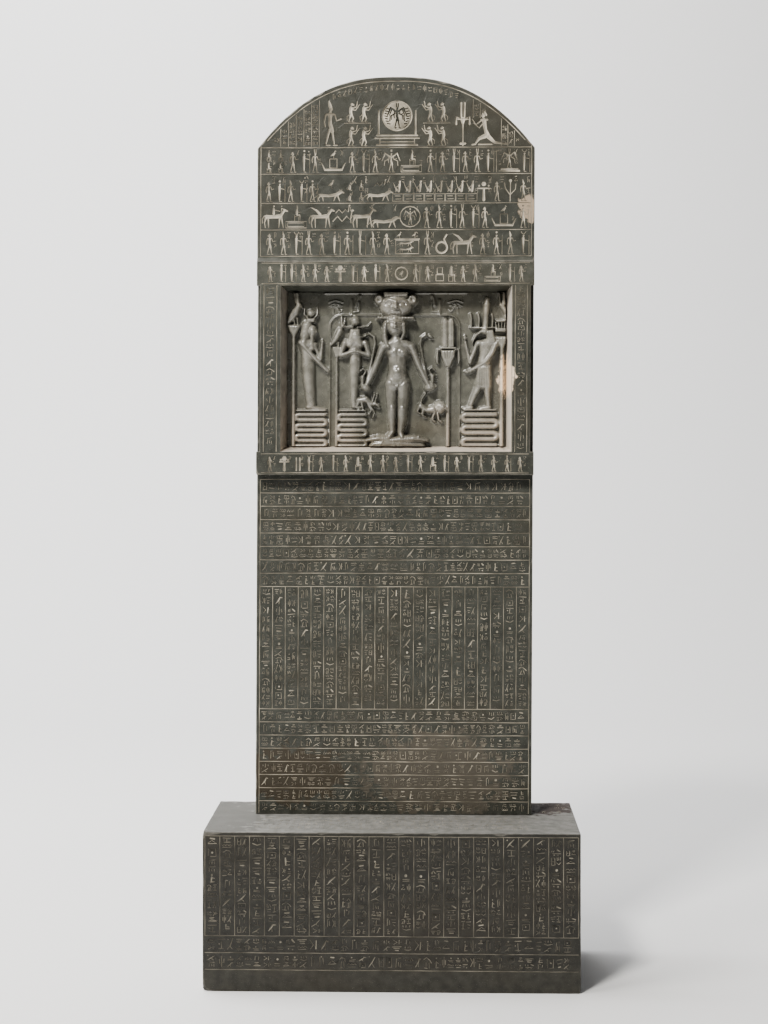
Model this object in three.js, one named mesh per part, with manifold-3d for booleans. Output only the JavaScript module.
// A round-topped carved stone stele on a rectangular plinth.
// Millimetres, +Z up, the carved front faces -Y, origin at the centre of the plinth's underside.
import * as THREE from 'three';
import { mergeVertices } from 'three/addons/utils/BufferGeometryUtils.js';
import Module from 'manifold-3d';

const wasm = await Module();
wasm.setup();

// ---------------------------------------------------------------- driving dimensions
const TOTAL_HEIGHT = 824;
const SEAT_GAP = 0.3;               // between the slab's foot and the plinth

const PLINTH_WIDTH = 335;
const PLINTH_DEPTH = 144;
const PLINTH_HEIGHT = 141;
const PLINTH_FRONT = -PLINTH_DEPTH / 2;

const SLAB_WIDTH = 256;
const SLAB_HALF = SLAB_WIDTH / 2;
const SLAB_FACE = 11;               // y of the lower, written face
const SLAB_BACK = 66;
const SLAB_FOOT = PLINTH_HEIGHT + SEAT_GAP;
const SLAB_LEAN = 0.0045;           // sideways drift of the hand-cut slab for each mm of height
const ARCH_SPRING = 758.3;
const ARCH_RISE = TOTAL_HEIGHT - ARCH_SPRING;
const ARCH_POWER = 2.5;             // flatter on top than a circle
const ARCH_STEPS = 24;

const PANEL_FACE = -1;              // y of the panel that stands proud of the lower face
const PANEL_BOTTOM = 456.5;
const PANEL_TOP = 653.7;
const LUNETTE_FACE = 2;             // y of the arched field above the panel
const BEVEL_HEIGHT = 3.6;

const NICHE_BOTTOM = 478;
const NICHE_TOP = 631.3;
const NICHE_LEFT = -105.5;
const NICHE_RIGHT = 107.5;
const NICHE_SPLAY = 9;              // how far each reveal leans in
const NICHE_WALL = 21;              // y of the niche's back wall
const REBATE = 3.2;                 // step down each outer side between the two bands

const BORDER_X = SLAB_HALF - 3;     // border line along each side
const RULE = { width: 1.1, depth: 0.6 };
const STROKE_DEPTH = 1.3;

const STONE = { color: 0x5b574c, roughness: 0.5, metalness: 0 };

// ---------------------------------------------------------------- solids
function solid(geometry) {
  geometry.deleteAttribute('normal');
  geometry.deleteAttribute('uv');
  const merged = mergeVertices(geometry, 1e-4);
  return new wasm.Manifold(new wasm.Mesh({
    numProp: 3,
    vertProperties: Float32Array.from(merged.attributes.position.array),
    triVerts: Uint32Array.from(merged.index.array),
  }));
}

// Joins in pairs, so that no long chain of ever larger joins is made.
function unite(solids) {
  if (solids.length === 1) return solids[0];
  const half = Math.floor(solids.length / 2);
  return unite(solids.slice(0, half)).add(unite(solids.slice(half)));
}

// Fills any pocket that overlapping relief has closed off: only the outer skin is kept.
function withoutVoids(body) {
  return body.decompose().reduce((best, piece) => (piece.volume() > best.volume() ? piece : best));
}

function block([x0, x1], [y0, y1], [z0, z1]) {
  const geometry = new THREE.BoxGeometry(x1 - x0, y1 - y0, z1 - z0);
  return solid(geometry.translate((x0 + x1) / 2, (y0 + y1) / 2, (z0 + z1) / 2));
}

// An outline of [x, z] points, extruded from yBack forward to yFront.
function plate(outline, yFront, yBack) {
  const shape = new THREE.Shape(outline.map(([x, z]) => new THREE.Vector2(x, z)));
  const geometry = new THREE.ExtrudeGeometry(shape, { depth: yBack - yFront, bevelEnabled: false });
  return solid(geometry.rotateX(Math.PI / 2).translate(0, yBack, 0));
}

// A closed hull from two outlines of equal length at two depths.
function frustum(front, yFront, back, yBack) {
  const count = front.length;
  const points = [...front.map(([x, z]) => [x, yFront, z]), ...back.map(([x, z]) => [x, yBack, z])];
  const faces = [];
  for (let i = 0; i < count; i += 1) {
    const next = (i + 1) % count;
    faces.push(i, next, count + i, next, count + next, count + i);
    if (i > 0 && i < count - 1) faces.push(0, i + 1, i, count, count + i, count + next);
  }
  return closed(points, faces);
}

// Builds a solid from points and triangles, turning the faces out if they point in.
function closed(points, faces) {
  const at = (i) => new THREE.Vector3(...points[i]);
  let volume = 0;
  for (let f = 0; f < faces.length; f += 3) {
    volume += at(faces[f]).dot(at(faces[f + 1]).cross(at(faces[f + 2])));
  }
  const geometry = new THREE.BufferGeometry();
  geometry.setAttribute('position', new THREE.Float32BufferAttribute(points.flat(), 3));
  geometry.setIndex(volume > 0 ? faces : [...faces].reverse());
  return solid(geometry);
}

// A rounded ridge of relief on a wall. Each station is [x, z, half width, height].
function ridge(stations, { wall = NICHE_WALL, arc = 4, sunk = 1 } = {}) {
  const points = [];
  stations.forEach(([x, z, half, height], i) => {
    const before = stations[Math.max(i - 1, 0)];
    const after = stations[Math.min(i + 1, stations.length - 1)];
    const along = new THREE.Vector2(after[0] - before[0], after[1] - before[1]).normalize();
    for (let k = 0; k <= arc; k += 1) {
      const angle = Math.PI * k / arc;
      const side = Math.cos(angle) * half;
      points.push([x - along.y * side, wall - Math.sin(angle) * height, z + along.x * side]);
    }
    points.push([x + along.y * half, wall + sunk, z - along.x * half]);
    points.push([x - along.y * half, wall + sunk, z + along.x * half]);
  });
  const ring = arc + 3;
  const faces = [];
  for (let s = 0; s < stations.length - 1; s += 1) {
    for (let k = 0; k < ring; k += 1) {
      const a = s * ring + k;
      const b = s * ring + (k + 1) % ring;
      faces.push(a, b, a + ring, b, b + ring, a + ring);
    }
  }
  const last = (stations.length - 1) * ring;
  for (let k = 1; k < ring - 1; k += 1) {
    faces.push(0, k + 1, k, last, last + k, last + k + 1);
  }
  return closed(points, faces);
}

// A rounded knob, half of it in the wall. Radii are across, out of the wall and up.
function knob(x, z, [across, out, up], { wall = NICHE_WALL, sides = 6, rings = 5 } = {}) {
  const geometry = new THREE.SphereGeometry(1, sides, rings);
  return solid(geometry.rotateX(Math.PI / 2).scale(across, out, up).translate(x, wall, z));
}

// A flat disc standing off the wall, with a slightly drawn-in face.
function disc(x, z, radius, height, { wall = NICHE_WALL, sides = 10 } = {}) {
  const geometry = new THREE.CylinderGeometry(radius, radius * 0.8, height + 1, sides);
  return solid(geometry.translate(0, (1 - height) / 2, 0).translate(x, wall, z));
}

// A four-sided dimple: the mark that one chisel blow leaves.
function mark(x, z, width, height, wall, depth = STROKE_DEPTH) {
  return solid(new THREE.OctahedronGeometry(1).scale(width / 2, depth, height / 2).translate(x, wall, z));
}

// A V groove between two points of a wall.
function groove([x0, z0], [x1, z1], wall, { width, depth } = RULE) {
  const length = Math.hypot(x1 - x0, z1 - z0);
  const geometry = new THREE.CylinderGeometry(1, 1, length, 4).scale(width / 2, 1, depth);
  geometry.rotateX(Math.PI / 2).rotateY(Math.atan2(x1 - x0, z1 - z0));
  return solid(geometry.translate((x0 + x1) / 2, wall, (z0 + z1) / 2));
}

const spread = (count, from, to) => (
  Array.from({ length: count }, (_, i) => from + (to - from) * (i + 0.5) / count)
);
const lines = (count, from, to) => (
  Array.from({ length: count + 1 }, (_, i) => from + (to - from) * i / count)
);

// ---------------------------------------------------------------- slab body
function archHeight(x) {
  return ARCH_SPRING + ARCH_RISE * (1 - Math.abs(x / SLAB_HALF) ** ARCH_POWER);
}

function slabOutline(inset = 0) {
  const half = SLAB_HALF - inset;
  const outline = [[half, SLAB_FOOT], [half, ARCH_SPRING]];
  for (let i = 1; i < ARCH_STEPS; i += 1) {
    const x = half * Math.cos(Math.PI * i / ARCH_STEPS);
    outline.push([x, archHeight(x * SLAB_HALF / half) - inset]);
  }
  outline.push([-half, ARCH_SPRING], [-half, SLAB_FOOT]);
  return outline;
}

function slabBody() {
  const whole = plate(slabOutline(), PANEL_FACE, SLAB_BACK);
  const wide = [-SLAB_HALF - 5, SLAB_HALF + 5];
  const lower = block(wide, [PANEL_FACE - 5, SLAB_FACE], [0, PANEL_BOTTOM]);
  const upper = block(wide, [PANEL_FACE - 5, LUNETTE_FACE], [PANEL_TOP + BEVEL_HEIGHT, TOTAL_HEIGHT + 5]);
  return whole.subtract(unite([lower, upper, bevel(), ...rebates(), niche()]));
}

// The sloping top of the panel.
function bevel() {
  const [left, right] = [-SLAB_HALF - 5, SLAB_HALF + 5];
  const low = PANEL_TOP;
  const high = PANEL_TOP + BEVEL_HEIGHT;
  const front = [[left, low], [right, low], [right, high + 1], [left, high + 1]];
  const back = [[left, high], [right, high], [right, high + 1], [left, high + 1]];
  return frustum(front, PANEL_FACE, back, LUNETTE_FACE);
}

function rebates() {
  const span = [NICHE_BOTTOM, NICHE_TOP];
  const depth = [PANEL_FACE - 1, SLAB_FACE];
  return [
    block([-SLAB_HALF - 1, -SLAB_HALF + REBATE], depth, span),
    block([SLAB_HALF - REBATE, SLAB_HALF + 1], depth, span),
  ];
}

function niche() {
  const opening = (grow) => [
    [NICHE_LEFT - grow, NICHE_BOTTOM - grow],
    [NICHE_RIGHT + grow, NICHE_BOTTOM - grow],
    [NICHE_RIGHT + grow, NICHE_TOP + grow],
    [NICHE_LEFT - grow, NICHE_TOP + grow],
  ];
  const outside = 1;
  const slope = NICHE_SPLAY / (NICHE_WALL - PANEL_FACE);
  return frustum(
    opening(outside * slope), PANEL_FACE - outside,
    opening(-NICHE_SPLAY * 0.5), NICHE_WALL,
  );
}

// ---------------------------------------------------------------- figures in the niche
const FLOOR = NICHE_BOTTOM + NICHE_SPLAY * 0.5 - 1;
const GROUND = 517;                 // what the side figures stand on

// A snake laid in runs, one on the other, that makes the pedestal of a side figure.
function coil(x0, x1, runs) {
  const pitch = (GROUND - FLOOR) / runs;
  return lines(runs - 1, FLOOR + pitch / 2, GROUND - pitch / 2).map((z, i) => {
    const shift = (i % 2 ? 1 : -1) * 1.2;
    const half = pitch * 0.56;
    return ridge([[x0 + shift, z, half, 5], [x1 + shift, z, half, 6]], { arc: 3 });
  });
}

function papyrusColumn(x, shaftTop, capitalTop, capitalHalf) {
  return [
    ridge([[x, FLOOR, 2.2, 5], [x, shaftTop, 1.7, 5]], { arc: 3 }),
    ridge([[x, shaftTop - 4, 2, 5], [x, shaftTop + 3, 4, 7], [x, capitalTop, capitalHalf, 8]]),
  ];
}

// The tall feathered bird with a crown, on the left column.
function crownedBird(x, z) {
  return [
    ridge([[x - 5, z - 1, 2, 4], [x - 3, z + 5, 5, 7], [x + 1, z + 14, 4.5, 7], [x + 2, z + 18, 2.5, 5]]),
    knob(x + 3.5, z + 19, [3.4, 6, 2.8]),
    ridge([[x + 2, z + 20, 3, 5], [x + 1, z + 28, 1.6, 4]], { arc: 3 }),
    ridge([[x + 1, z, 1.2, 4], [x + 1, z + 6, 1.6, 4]], { arc: 3 }),
  ];
}

// The rearing snake with a tall crown, on the right column.
function crownedSnake(x, z) {
  return [
    ridge([[x - 3, z, 2.2, 5], [x + 2.5, z + 5, 2.4, 5], [x - 0.5, z + 11, 3.6, 6], [x - 1, z + 17, 2.4, 5]]),
    knob(x - 2.5, z + 18, [3.6, 5.5, 2.2]),
    ridge([[x, z + 19, 2.6, 5], [x + 0.5, z + 25, 2.2, 5], [x + 0.5, z + 31, 1.1, 4]], { arc: 3 }),
  ];
}

// A walking figure in profile. `facing` is +1 for towards +X.
function robedFigure(x, facing) {
  const f = (dx) => x + facing * dx;
  return [
    ridge([[f(-1), 582, 5.5, 7], [f(-1), 577.5, 8.5, 9], [f(-1.5), 566.5, 5.5, 9], [f(-1), 554.5, 6.6, 9],
      [f(0), 538, 6, 8], [f(1.5), 521, 5, 7]]),
    knob(f(-0.5), 589.5, [6, 11, 7.2]),
    ridge([[f(-5), 593, 2.6, 8], [f(-5.5), 580, 2.6, 9]], { arc: 3 }),
    ridge([[f(5), 593, 1.6, 7], [f(6), 579, 1.8, 8]], { arc: 3 }),
    disc(f(1), 604.5, 4.4, 6),
    ridge([[f(-3.5), 599, 1, 5], [f(-5), 604, 1, 5], [f(-3.5), 610.5, 0.8, 4]], { arc: 3 }),
    ridge([[f(5.5), 599, 1, 5], [f(7), 604, 1, 5], [f(5.5), 610.5, 0.8, 4]], { arc: 3 }),
    ridge([[f(-7.5), 580, 2.4, 11], [f(1), 567.5, 2.2, 12], [f(15), 555.5, 1.6, 9]], { arc: 3 }),
    ridge([[f(6), 579, 2.2, 8], [f(10.5), 566, 2, 8], [f(10), 577.5, 1.7, 7]], { arc: 3 }),
    ridge([[f(-3), 517.5, 2, 6], [f(8), 518.5, 2.2, 6]], { arc: 3 }),
    ridge([[f(8), 517.5, 2, 6], [f(18), 518, 1.8, 5]], { arc: 3 }),
  ];
}

// The bird-headed figure with arms folded over a shroud.
function shroudedFigure(x) {
  const parts = [
    ridge([[x, 582, 6, 7], [x, 578.5, 10, 9], [x, 566.5, 8.4, 10], [x, 552.5, 7, 9], [x + 0.3, 523, 3.6, 7]]),
    knob(x + 1, 589, [7, 11, 5.2]),
    knob(x + 7, 588.5, [2.8, 6, 1.8]),
    disc(x - 4.5, 599.5, 4.6, 6),
    ridge([[x - 2, 518, 2, 6], [x + 6, 518, 1.8, 5]], { arc: 3 }),
  ];
  for (const side of [-1, 1]) {
    parts.push(ridge([
      [x + side * 9, 578.5, 2.4, 9],
      [x + side * 12.5, 566.5, 2.3, 9],
      [x + side * 1.5, 570.5, 2, 12],
    ], { arc: 3 }));
  }
  return parts;
}

// The bird on a papyrus stem beside the shrine.
function birdStandard(x) {
  return [
    ridge([[x - 0.5, FLOOR, 1.7, 4], [x - 0.5, 566.5, 1.5, 4]], { arc: 3 }),
    ridge([[x - 0.5, 565.5, 1.6, 5], [x, 575, 4.6, 7]], { arc: 3 }),
    ridge([[x - 5, 570.5, 1.4, 4], [x - 3, 580, 3.6, 7], [x + 1, 590, 4.4, 7], [x + 2.5, 596, 3, 6]]),
    knob(x + 4, 598, [3.4, 6, 3]),
  ];
}

// The sceptre with a flower, pendants and two plumes.
function flowerStandard(x) {
  const parts = [
    ridge([[x, FLOOR, 2.2, 5], [x, 558.5, 2, 5]], { arc: 3 }),
    ridge([[x, 554.5, 2, 5], [x, 560.5, 4, 7], [x, 572.5, 7.6, 8]]),
  ];
  for (const side of [-1, 1]) {
    parts.push(ridge([[x + side * 2.7, 572.5, 2.2, 5], [x + side * 2.9, 592, 3, 6], [x + side * 2.6, 601.5, 1.4, 4]],
      { arc: 3 }));
    parts.push(ridge([[x + side * 6, 574, 1.2, 4], [x + side * 9, 570.5, 1.5, 4], [x + side * 9.4, 558.5, 2.4, 5]],
      { arc: 3 }));
  }
  return parts;
}

// The long-beaked figure with a plumed crown, striding towards -X.
function crownedFigure(x) {
  return [
    ridge([[x + 1, 584, 5.5, 7], [x + 1, 579, 9.5, 9], [x, 567.5, 6, 9], [x - 1, 561.5, 6, 9]]),
    ridge([[x - 1, 562.5, 6, 9], [x - 1, 550.5, 7.5, 10], [x - 2, 539, 6.6, 9]]),
    ridge([[x - 6, 541.5, 3.4, 8], [x - 7, 529, 3, 7], [x - 9, 520, 2.2, 6]], { arc: 3 }),
    ridge([[x + 2, 541.5, 3.8, 8], [x + 4, 531, 3.6, 8], [x + 3, 520, 2.3, 6]], { arc: 3 }),
    ridge([[x - 7, 518, 2, 6], [x - 17, 518, 1.8, 5]], { arc: 3 }),
    ridge([[x + 5, 518, 2, 6], [x - 6, 518, 1.8, 5]], { arc: 3 }),
    knob(x, 592.5, [4.6, 10, 4]),
    ridge([[x - 3, 593, 1.8, 7], [x - 8, 590, 1.4, 6], [x - 11, 584.5, 0.9, 5]], { arc: 3 }),
    ridge([[x + 4, 593, 3.4, 9], [x + 7, 583, 4.2, 9]], { arc: 3 }),
    ridge([[x - 15, 598, 0.9, 5], [x - 6, 595.5, 1.2, 6], [x + 4, 595.5, 1.2, 6], [x + 12, 598, 0.9, 5]],
      { arc: 3 }),
    ridge([[x + 2, 597, 4, 6], [x + 2.5, 608, 4.6, 7], [x + 3, 618.5, 3, 6], [x + 3, 624.5, 1.2, 4]]),
    ridge([[x + 10, 580, 2.6, 11], [x, 568.5, 2.2, 12], [x - 18, 555.5, 1.7, 9]], { arc: 3 }),
    ridge([[x - 7, 581, 2.3, 8], [x - 13, 563.5, 2.1, 8], [x - 17.5, 586, 1.8, 7]], { arc: 3 }),
  ];
}

// The child who stands in the middle, in almost full round, with a lock of hair on one side.
function child(x) {
  const parts = [
    ridge([[x, 581, 6, 8], [x, 578, 15.5, 11], [x, 569.5, 11, 14], [x - 0.3, 557.5, 9.3, 13],
      [x - 0.8, 540, 11.6, 14]], { arc: 5 }),
    ridge([[x - 1.5, 585, 4.6, 11], [x - 1.5, 578.5, 5.4, 10]]),
    knob(x - 2.4, 594.5, [7.8, 17, 9.6], { sides: 10, rings: 6 }),
    ridge([[x - 8.6, 599, 2.4, 10], [x - 9.4, 586, 3, 11], [x - 7.6, 574.5, 2.2, 12]]),
    ridge([[x + 5.8, 592, 2, 9], [x + 7, 580.5, 2.4, 10]], { arc: 3 }),
    ridge([[x - 6.4, 542.5, 5.4, 13], [x - 7.6, 520, 4, 11], [x - 8.3, 505, 3.7, 10], [x - 8.4, 491.5, 2.7, 9]]),
    ridge([[x + 4.4, 542.5, 6, 13], [x + 4.4, 520, 5, 12], [x + 3.6, 505, 4.4, 11], [x + 3.2, 491.5, 3.2, 10]]),
    knob(x - 9.5, 490.5, [4.6, 13, 2.8]),
    knob(x + 2.6, 490.5, [4.8, 14, 3]),
  ];
  for (const side of [-1, 1]) {
    parts.push(ridge([
      [x + side * 13.8, 578, 3.9, 11],
      [x + side * 20, 557.5, 3.2, 10],
      [x + side * 27.5, 539, 2.8, 10],
    ]));
    parts.push(knob(x + side * 29, 536, [5.6, 12, 4]));
  }
  return parts;
}

// What the child holds: a rearing snake, a scorpion and, below, an animal by its tail.
function heldSnake(x, side) {
  return [
    ridge([[x + side * 29, 533, 1.6, 6], [x + side * 27, 544.5, 1.8, 6], [x + side * 23, 564.5, 1.9, 6],
      [x + side * 21.5, 578.5, 1.9, 6], [x + side * 24, 582.5, 2, 6], [x + side * 31, 582.5, 1.5, 5]], { arc: 3 }),
  ];
}

function scorpion(x) {
  return [
    knob(x, 548.5, [3, 6, 4.4], { sides: 5, rings: 4 }),
    ridge([[x, 545.5, 1.4, 5], [x + 1, 539, 1, 4]], { arc: 2 }),
    ...[-1, 1].map((side) => ridge([[x + side * 2, 550.5, 0.9, 4], [x + side * 4.4, 553.5, 0.8, 4]], { arc: 2 })),
  ];
}

function horned(x) {
  return [
    ridge([[x - 2, 527, 3.4, 6], [x, 519, 4.2, 8], [x + 1, 510, 3.6, 7]]),
    ridge([[x + 4, 524, 2, 6], [x + 6.5, 529, 2, 6], [x + 9.5, 526, 1.2, 5]], { arc: 3 }),
    ridge([[x + 4, 530.5, 0.8, 4], [x - 3, 533, 0.7, 3]], { arc: 3 }),
    ridge([[x - 2, 512, 1.5, 5], [x - 5, 504.5, 1.1, 4]], { arc: 3 }),
    ridge([[x + 3, 511, 1.5, 5], [x + 5, 504.5, 1.1, 4]], { arc: 3 }),
  ];
}

function lion(x) {
  return [
    ridge([[x - 10, 523, 3.2, 6], [x - 2, 519, 4.6, 8], [x + 6, 516, 4.6, 8]]),
    knob(x + 9.5, 517, [5.6, 11, 6]),
    ridge([[x - 9, 520, 1.8, 6], [x - 11.5, 512, 1.6, 5], [x - 8, 504, 1.4, 4]], { arc: 3 }),
    ridge([[x + 5, 513, 1.9, 6], [x + 6, 504, 1.5, 5]], { arc: 3 }),
    ridge([[x - 11, 525, 1.1, 5], [x - 12, 531, 1, 5], [x - 5, 533, 1, 4]], { arc: 3 }),
  ];
}

// A crocodile lying along the floor, its snout towards `facing`.
function crocodile(x, z, facing, out) {
  const f = (dx) => x + facing * dx;
  return [
    ridge([[f(-24), z + 1.5, 1, 6], [f(-12), z, 2.6, out], [f(6), z, 4, out + 2], [f(15), z, 3.2, out],
      [f(20), z, 2.4, out], [f(30), z - 0.5, 1.2, out - 2]]),
  ];
}

// The broad grinning mask above the child's head, with a crescent beard and flat crown.
function mask(x) {
  const parts = [
    knob(x, 612, [14.5, 15, 11], { sides: 10, rings: 5 }),
    ridge([[x - 12, 625, 2.8, 10], [x, 626, 3, 12], [x + 12, 625, 2.8, 10]]),
    knob(x, 611.5, [3.2, 18.5, 2.6], { sides: 5, rings: 4 }),
    ridge([[x - 17.5, 609, 1.6, 7], [x - 9, 603.5, 2.2, 11], [x, 601.5, 2.4, 13], [x + 9, 603.5, 2.2, 11],
      [x + 17.5, 609, 1.6, 7]], { arc: 3 }),
  ];
  for (const side of [-1, 1]) {
    parts.push(disc(x + side * 15.2, 620.5, 3.6, 8, { sides: 8 }));
    parts.push(ridge([[x + side * 2, 617.5, 1.3, 15.6], [x + side * 9, 618.5, 1, 13.5]], { arc: 3 }));
  }
  return parts;
}

// The thin raised frame of a shrine round the middle group.
function shrineFrame() {
  const [left, right, top, corner] = [-61, 59.6, 605.5, 9];
  return [
    ridge([[left, FLOOR, 0.9, 2], [left, top - corner, 0.9, 2], [left + corner * 0.3, top - corner * 0.3, 0.9, 2],
      [left + corner, top, 0.9, 2], [right - corner, top, 0.9, 2],
      [right - corner * 0.3, top - corner * 0.3, 0.9, 2], [right, top - corner, 0.9, 2], [right, FLOOR, 0.9, 2]],
    { arc: 2 }),
  ];
}

// Low figures and eyes cut on the wall between the mask and the columns.
function wallSigns() {
  return [
    ...[-38, 31].flatMap((x) => [
      ridge([[x, 607, 3.4, 2.2], [x, 616.5, 2.6, 2.4]], { arc: 3 }),
      knob(x, 620.5, [2.6, 2.6, 2.8], { sides: 5, rings: 4 }),
    ]),
    ...[-57.5, 55].flatMap((x) => [
      ridge([[x - 6, 615.5, 0.8, 1.6], [x, 618, 2, 2.4], [x + 6, 615.5, 0.8, 1.6]], { arc: 3 }),
      ridge([[x - 1, 615, 0.8, 1.8], [x - 2, 608.5, 0.7, 1.6]], { arc: 3 }),
    ]),
  ];
}

function nicheRelief() {
  const middle = 1.8;
  return unite([
    ...papyrusColumn(-95.2, 577.5, 596, 7.4), ...crownedBird(-95, 596),
    ...coil(-92, -63.5, 7), ...robedFigure(-79, 1),
    ...birdStandard(-54), ...coil(-51.5, -27, 8), ...shroudedFigure(-38),
    ...child(middle), ...mask(0.4),
    ...heldSnake(middle, -1), ...heldSnake(middle, 1),
    ...scorpion(-31), ...scorpion(34.5), ...horned(-27), ...lion(36),
    ...crocodile(-3, 487.5, 1, 9), ...crocodile(6, 481.5, -1, 11),
    ...flowerStandard(49), ...coil(65, 93.5, 5), ...crownedFigure(81),
    ...papyrusColumn(98.7, 576.5, 588.5, 6.6), ridge([[98.7, 587.5, 3.6, 7], [98.7, 597.5, 3.2, 6]], { arc: 3 }),
    ...crownedSnake(99.5, 597),
    ...shrineFrame(), ...wallSigns(),
  ]);
}

// ---------------------------------------------------------------- incised registers and writing
// Rows of small figures: upright ones, seated ones, beasts and stacked pairs take turns.
function figureRow(z0, z1, xs, wall, seed) {
  const height = z1 - z0;
  return xs.flatMap((x, i) => {
    const kind = (i * 5 + seed) % 7;
    const base = z0 + height * 0.1;
    if (kind === 3) {
      return [mark(x, base + height * 0.3, 9.4, height * 0.34, wall), mark(x + 4, base + height * 0.6, 3.4, 5, wall)];
    }
    if (kind === 5) {
      return [mark(x, base + height * 0.18, 5.4, height * 0.32, wall),
        mark(x, base + height * 0.62, 5, height * 0.34, wall)];
    }
    const tall = kind === 1 ? 0.52 : 0.66;
    return [
      mark(x, base + height * tall / 2, kind === 1 ? 6.4 : 4.4, height * tall, wall),
      mark(x + 0.6, base + height * (tall + 0.06), 3.2, 3.8, wall),
    ];
  });
}

function strokeRow(z, xs, wall, size) {
  return xs.map((x, i) => {
    const tall = (i * 3 + Math.round(z)) % 4 < 2;
    const lift = ((i * 5) % 3 - 1) * size * 0.12;
    return tall ? mark(x, z + lift, 2.2, size, wall) : mark(x, z + lift, size * 1.1, 3, wall);
  });
}

const REGISTER_LINES = [657.5, 683, 707.5, 734.5, 759];

function lunetteCarving() {
  const cuts = REGISTER_LINES.slice(1).map((z) => (
    groove([-BORDER_X, z], [BORDER_X, z], LUNETTE_FACE)
  ));
  for (const side of [-1, 1]) {
    cuts.push(groove([side * BORDER_X, PANEL_TOP + 6], [side * BORDER_X, ARCH_SPRING], LUNETTE_FACE));
  }
  for (let row = 0; row < 4; row += 1) {
    cuts.push(...figureRow(REGISTER_LINES[row], REGISTER_LINES[row + 1], spread(13, -BORDER_X, BORDER_X),
      LUNETTE_FACE, row * 2));
  }
  return [...cuts, ...archBorder(), ...archScene()];
}

// The line that follows the arch a little inside its edge.
function archBorder() {
  const steps = 9;
  const inset = 4.4;
  const at = (i) => {
    const x = -BORDER_X * Math.cos(Math.PI * i / steps);
    return [x, archHeight(x * SLAB_HALF / BORDER_X) - inset];
  };
  return Array.from({ length: steps }, (_, i) => groove(at(i), at(i + 1), LUNETTE_FACE));
}

// The disc on its podium, the adoring figures beside it, and the blocks of writing.
function archScene() {
  const base = 759;
  const cuts = [
    ...[-70, 61].map((x) => mark(x, base + 22, 8, 38, LUNETTE_FACE)),
    ...[-70, 61].map((x) => mark(x, base + 42, 6, 8, LUNETTE_FACE)),
    mark(86, base + 13, 16, 24, LUNETTE_FACE),
    mark(86, base + 27, 6, 7, LUNETTE_FACE),
    groove([-18.5, base + 8], [20, base + 8], LUNETTE_FACE),
    groove([-16.5, base + 8], [-16.5, base + 34], LUNETTE_FACE),
    groove([17.5, base + 8], [17.5, base + 34], LUNETTE_FACE),
  ];
  for (const x of [-41, -29, 33, 45]) {
    for (const z of [base + 11, base + 33]) cuts.push(mark(x, z, 8, 16, LUNETTE_FACE));
  }
  for (const x of spread(4, -116, -84)) {
    cuts.push(mark(x, base + 12, 4, 16, LUNETTE_FACE));
  }
  for (const x of spread(2, 99, 117)) {
    cuts.push(mark(x, base + 12, 4, 16, LUNETTE_FACE));
  }
  return cuts;
}

// The ring left standing round the disc, and the disc itself, in a sunk round field.
function archDisc() {
  const [x, z, radius] = [0.9, 788, 13.2];
  const sunk = disc(x, z, radius + 1.4, 0.5, { wall: LUNETTE_FACE + 1, sides: 20 });
  const raised = knob(x, z, [radius, 3.2, radius], { wall: LUNETTE_FACE + 1.6, sides: 14, rings: 5 });
  return { sunk, raised };
}

function bandCarving() {
  const bands = [[PANEL_BOTTOM, NICHE_BOTTOM, 12], [NICHE_TOP, PANEL_TOP, 12]];
  const cuts = bands.flatMap(([z0, z1, count], i) => (
    figureRow(z0 + 1, z1 - 1, spread(count, -BORDER_X, BORDER_X), PANEL_FACE, 3 + i)
  ));
  for (const [x0, x1] of [[-121, -108.6], [111.5, 123.5]]) {
    for (const x of [x0, x1]) cuts.push(groove([x, NICHE_BOTTOM + 1], [x, NICHE_TOP - 1], PANEL_FACE));
    for (const z of spread(4, NICHE_BOTTOM, NICHE_TOP)) {
      cuts.push(mark((x0 + x1) / 2, z, 6, 9, PANEL_FACE));
    }
  }
  return cuts;
}

// Eight written rows, a field of columns, and eight more rows down to the plinth.
function lowerCarving() {
  const wall = SLAB_FACE;
  const [upperTop, upperBottom, lowerTop, lowerBottom] = [452, 352.5, 240, 154.5];
  const rowCount = 8;
  const columns = 21;
  const cuts = [];
  const rule = (z) => cuts.push(groove([-BORDER_X, z], [BORDER_X, z], wall));
  lines(rowCount, upperTop, upperBottom).forEach(rule);
  lines(rowCount - 1, lowerTop, lowerBottom).forEach(rule);
  for (const side of [-1, 1]) {
    cuts.push(groove([side * BORDER_X, SLAB_FOOT], [side * BORDER_X, upperTop], wall));
  }
  for (const x of lines(columns, -BORDER_X, BORDER_X).slice(1, -1)) {
    cuts.push(groove([x, lowerTop], [x, upperBottom], wall));
  }
  spread(rowCount, upperTop, upperBottom).forEach((z, i) => {
    cuts.push(...strokeRow(z, spread(5 + i % 2, -BORDER_X + 4, BORDER_X - 4), wall, 8));
  });
  spread(rowCount - 1, lowerTop, lowerBottom).forEach((z, i) => {
    cuts.push(...strokeRow(z, spread(5 + i % 2, -BORDER_X + 4, BORDER_X - 4), wall, 8));
  });
  spread(2, lowerTop + 4, upperBottom - 4).forEach((z) => {
    cuts.push(...strokeRow(z, spread(columns, -BORDER_X, BORDER_X), wall, 7));
  });
  return cuts;
}

// The back and the narrow sides are ruled too, but more simply.
function rearCarving() {
  const rows = lines(7, 180, 730);
  return rows.map((z) => groove([-BORDER_X, z], [BORDER_X, z], SLAB_BACK));
}

function slab() {
  const { sunk, raised } = archDisc();
  const cuts = unite([
    ...lunetteCarving(), ...bandCarving(), ...lowerCarving(), ...rearCarving(), sunk,
    ...edgeChips(),
  ]);
  return withoutVoids(slabBody().add(nicheRelief()).subtract(cuts).add(raised));
}

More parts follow.
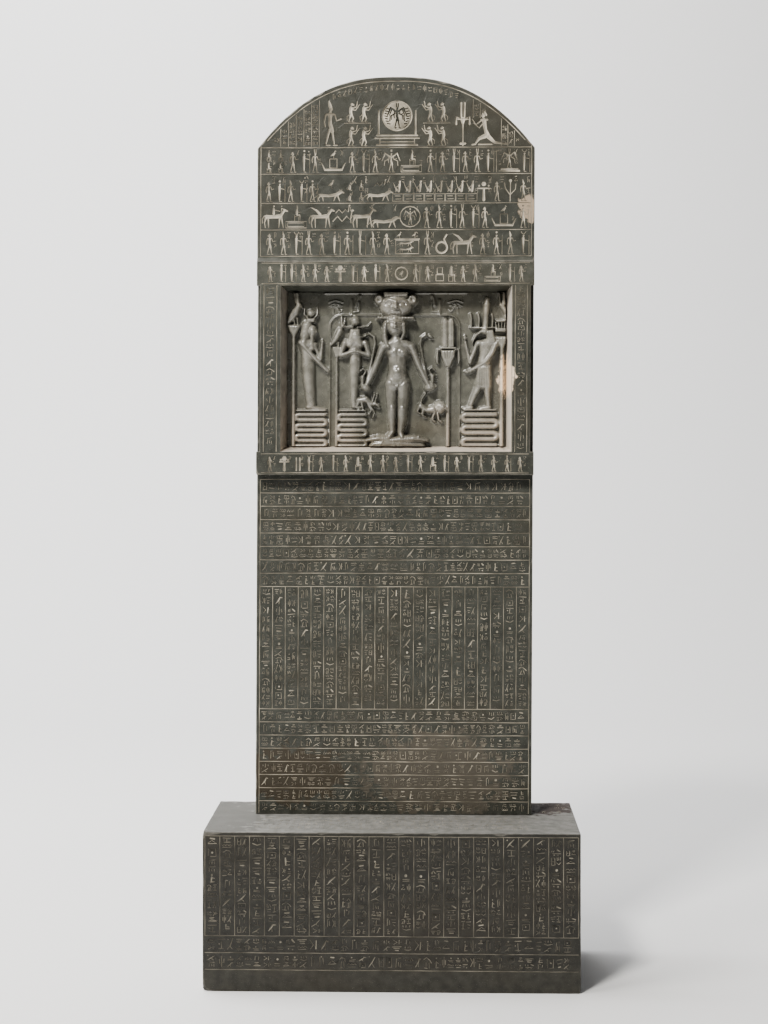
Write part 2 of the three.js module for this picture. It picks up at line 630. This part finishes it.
// Small losses along the edges of the slab.
function edgeChips() {
  const [left, right] = [-SLAB_HALF, SLAB_HALF];
  return [
    [left, SLAB_FACE, 166, 3, 9], [right, SLAB_FACE, 229, 2.4, 12], [left, PANEL_FACE, 641.5, 2.2, 7],
    [right, PANEL_FACE, 467.5, 2.6, 8], [left, PANEL_FACE, 460, 2, 6],
  ].map(([x, y, z, size, length]) => (
    solid(new THREE.OctahedronGeometry(1).scale(size, size, length).translate(x, y, z))
  ));
}

// ---------------------------------------------------------------- plinth
function plinth() {
  const half = PLINTH_WIDTH / 2;
  const body = block([-half, half], [PLINTH_FRONT, -PLINTH_FRONT], [0, PLINTH_HEIGHT]);
  const [top, middle, rows] = [138, 49.5, [34.5, 19.5]];
  const margin = 2;
  const columns = 25;
  const edge = half - margin;
  const cuts = [top, middle, ...rows].map((z) => groove([-edge, z], [edge, z], PLINTH_FRONT));
  for (const x of lines(columns, -edge, edge)) {
    cuts.push(groove([x, middle], [x, top], PLINTH_FRONT));
  }
  spread(2, middle + 3, top - 3).forEach((z, row) => {
    const xs = spread(columns, -edge, edge).filter((_, i) => i % 2 === row);
    cuts.push(...strokeRow(z, xs, PLINTH_FRONT, 9));
  });
  for (const z of [(middle + rows[0]) / 2, (rows[0] + rows[1]) / 2]) {
    cuts.push(...strokeRow(z, spread(8, -edge, edge), PLINTH_FRONT, 9));
  }
  return body.subtract(unite([...cuts, ...plinthChips()]));
}

// Chips along the top edges and the worn front left corner.
function plinthChips() {
  const half = PLINTH_WIDTH / 2;
  const chip = (x, y, size) => (
    solid(new THREE.OctahedronGeometry(1).scale(...size).translate(x, y, PLINTH_HEIGHT))
  );
  return [
    chip(-half, PLINTH_FRONT, [5, 6, 7]),
    chip(half, PLINTH_FRONT, [2.5, 4, 3]),
    chip(half, -PLINTH_FRONT, [4, 5, 3]),
    chip(-half, -PLINTH_FRONT, [6, 5, 4]),
    ...[[10, 3], [38, 2.4], [104, 2.8], [-60, 1.8], [-118, 2]].map(([x, size]) => (
      chip(x, PLINTH_FRONT, [size * 2.2, size, size])
    )),
  ];
}

// ---------------------------------------------------------------- scene graph
function mesh(name, body, shape = (x) => x) {
  const { vertProperties, triVerts } = body.getMesh();
  const points = Float32Array.from(vertProperties);
  for (let i = 0; i < points.length; i += 3) {
    points[i] = shape(points[i], points[i + 2]);
  }
  const geometry = new THREE.BufferGeometry();
  geometry.setAttribute('position', new THREE.BufferAttribute(points, 3));
  geometry.setIndex(Array.from(triVerts));
  geometry.computeVertexNormals();
  const result = new THREE.Mesh(geometry, new THREE.MeshStandardMaterial({ ...STONE, name }));
  result.name = name;
  return result;
}

const leaning = (x, z) => x + SLAB_LEAN * (z - PLINTH_HEIGHT);

const stele = new THREE.Group();
stele.add(mesh('plinth', plinth()));
stele.add(mesh('stele_slab', slab(), leaning));
export default stele;
